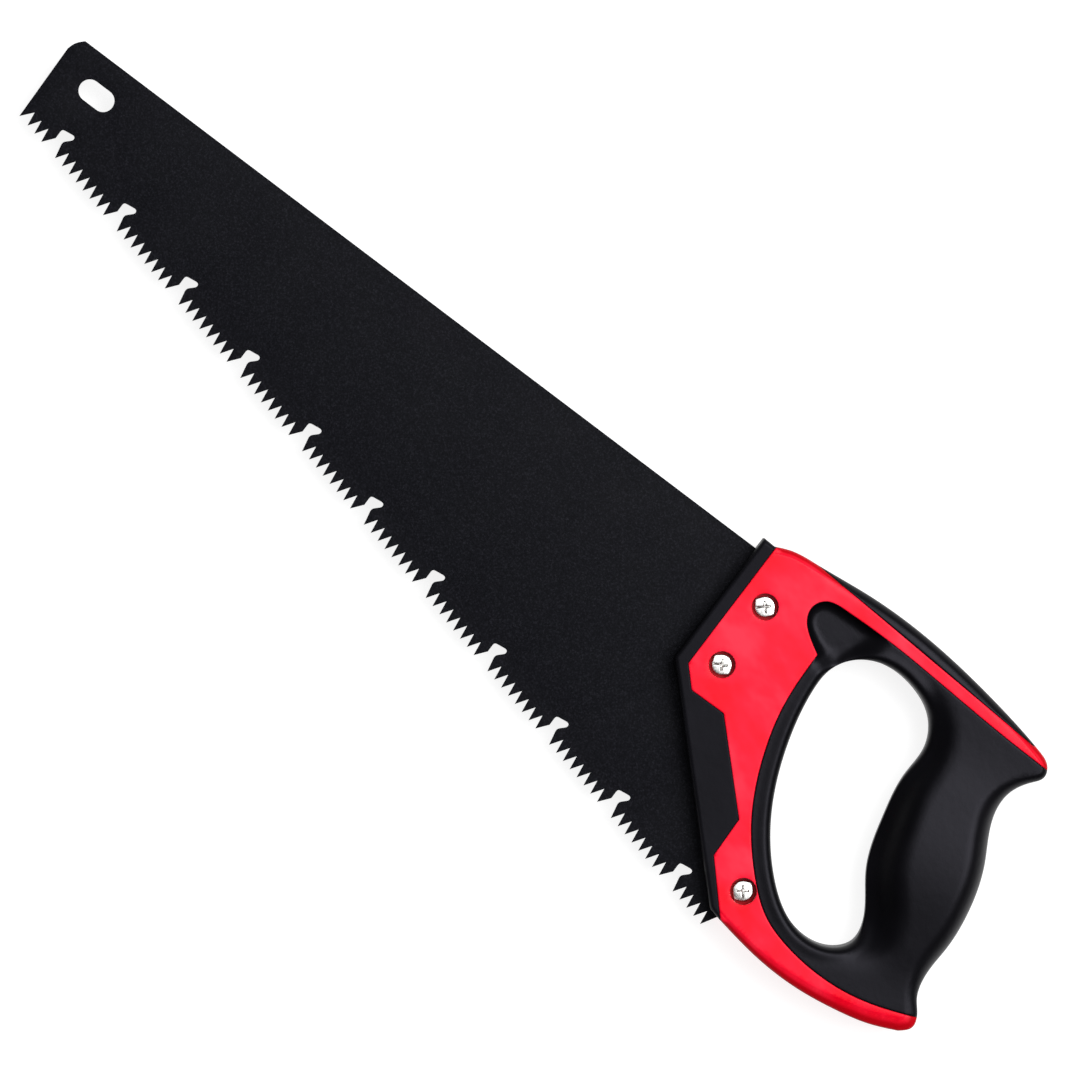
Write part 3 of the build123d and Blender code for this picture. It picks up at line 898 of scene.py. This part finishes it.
RED = red_plastic()
GRIP_RUBBER = soft_black("grip_rubber_black", 0.0020, 0.125, 0.36, 0.44)
SPINE_RUBBER = soft_black("spine_rubber_black", 0.0020, 0.125, 0.34, 0.42)
BUMPER_BLACK = soft_black("bumper_smooth_black", 0.0036, 0.08, 0.42, 0.50, 900, 0.08)
COATING = blade_coating()
NICKEL = nickel()

# ---------------------------------------------------------------- handle pieces
IN_GRIP = inside(MIDDLES, GRIP_REGION)
IN_SPINE = inside(MIDDLES, SPINE_REGION) & ~IN_GRIP
IN_BUMPER = inside(MIDDLES, BUMPER_REGION) & ~IN_GRIP & ~IN_SPINE
IN_CORE = ~(IN_GRIP | IN_SPINE | IN_BUMPER)


def recess_wells():
    """Lining of each screw recess, its floor and the hole for the sleeve, seen from both sides."""
    wells = []
    for i, screw in zip((1, 2, 3), SCREWS):
        floor = head_seat(i)
        rows = [(RECESS_RADIUS, floor), (SLEEVE_RADIUS, floor)]
        rows += [(SLEEVE_RADIUS, -floor), (RECESS_RADIUS, -floor)]
        wells.append((screw, RECESS_RADIUS, rows))
    return wells


def blade_pocket():
    """Outline of the slot in the handle: the blade's heel and the way it slides in."""
    heel = [back_point(POCKET_START), back_point(BACK_END)] + HEEL
    return grown(heel + [(HEEL[-1][0], POCKET_LOW), (POCKET_START, POCKET_LOW)], SLOT_CLEARANCE)


add_mesh("grip_rubber", *plan_solid(FACES[IN_GRIP], grip_height()),
         GRIP_RUBBER, "grip_overmould", "grip_rubber")
CORE = add_mesh("core_red", *plan_solid(FACES[IN_CORE], core_height(), wells=recess_wells()),
                RED, "handle_core", "core_red")
add_mesh("spine_rubber", *plan_solid(FACES[IN_SPINE], spine_height()),
         SPINE_RUBBER, "spine_pad", "spine_rubber")
BUMPER = add_mesh("bumper_strip", *plan_solid(FACES[IN_BUMPER], bumper_height()),
                  BUMPER_BLACK, "front_bumper", "bumper_black")
for piece in (CORE, BUMPER):
    cut_pocket(piece, blade_pocket(), SLOT_GAP)
add_mesh("blade_coated", *blade_solid(), COATING, "blade", "blade_coating")
for i in (1, 2, 3):
    add_mesh(f"screw_plated_{i}", *screw_solid(i), NICKEL, f"screw_{i}", "screw_nickel")
    add_mesh(f"sleeve_nut_plated_{i}", *nut_solid(i), NICKEL, f"sleeve_nut_{i}", "screw_nickel")

# ---------------------------------------------------------------- floor, lights and camera
AXIS_POINT = place([243.6, 46.6, 0.0])  # where the camera's axis meets the blade
IMAGE_ANGLE = radians(49.9)  # the tooth line falls away this steeply in the image
VIEW_WIDTH = 0.4006  # of the blade plane across the image
CAMERA_DISTANCE = 2.4
SENSOR = 36.0
FLOOR_GLOW = 0.84  # the floor is a lit sweep
FLOOR_REACH = 3.0
LIGHT_TARGET = Vector(place([243.6, 66.0, 0.0]))
WORLD_LIGHT = 0.12


def add_floor():
    """Pale floor under the saw."""
    corners = [(x * FLOOR_REACH, y * FLOOR_REACH, 0) for x, y in ((-1, -1), (1, -1), (1, 1), (-1, 1))]
    mesh = bpy.data.meshes.new("floor")
    mesh.from_pydata(corners, [], [(0, 1, 2, 3)])
    floor = bpy.data.objects.new("floor", mesh)
    bpy.context.scene.collection.objects.link(floor)
    material, nodes, links, shader = new_material("floor_pale")
    shade = ramp(nodes, links, noise(nodes, links, 3, 2), [(0.3, 0.29), (0.7, 0.31)])
    links.new(shade, shader.inputs["Base Color"])
    shader.inputs["Roughness"].default_value = 0.9
    shader.inputs["Specular IOR Level"].default_value = 0.0
    shader.inputs["Emission Color"].default_value = (1, 1, 1, 1)
    shader.inputs["Emission Strength"].default_value = FLOOR_GLOW
    mesh.materials.append(material)


def add_light(name, offset, size, power):
    """Square soft light aimed at the saw, offset in metres to image right, image up and the camera."""
    data = bpy.data.lights.new(name, "AREA")
    data.size = size
    data.energy = power
    light = bpy.data.objects.new(name, data)
    bpy.context.scene.collection.objects.link(light)
    light.location = LIGHT_TARGET + IMAGE_RIGHT * offset[0] + IMAGE_UP * offset[1] + Vector((0, 0, offset[2]))
    light.rotation_euler = (LIGHT_TARGET - light.location).to_track_quat("-Z", "Y").to_euler()


IMAGE_RIGHT = Vector((cos(IMAGE_ANGLE), sin(IMAGE_ANGLE), 0))
IMAGE_UP = Vector((-sin(IMAGE_ANGLE), cos(IMAGE_ANGLE), 0))
add_floor()
add_light("key", (1.4, 0.4, 2.3), 1.8, 62)
add_light("front", (0.6, 0.7, 2.7), 2.8, 56)

world = bpy.data.worlds.new("studio")
bpy.context.scene.world = world
world.use_nodes = True
world.node_tree.nodes["Background"].inputs[0].default_value = (1, 1, 1, 1)
world.node_tree.nodes["Background"].inputs[1].default_value = WORLD_LIGHT

camera_data = bpy.data.cameras.new("camera")
camera_data.sensor_width = SENSOR
camera_data.lens = SENSOR * CAMERA_DISTANCE / VIEW_WIDTH
camera_data.clip_end = 50
camera = bpy.data.objects.new("camera", camera_data)
bpy.context.scene.collection.objects.link(camera)
turn = Matrix((IMAGE_RIGHT, IMAGE_UP, Vector((0, 0, 1)))).transposed().to_4x4()
camera.matrix_world = Matrix.Translation(Vector(AXIS_POINT) + Vector((0, 0, CAMERA_DISTANCE))) @ turn
bpy.context.scene.camera = camera
bpy.context.scene.view_settings.view_transform = "Standard"
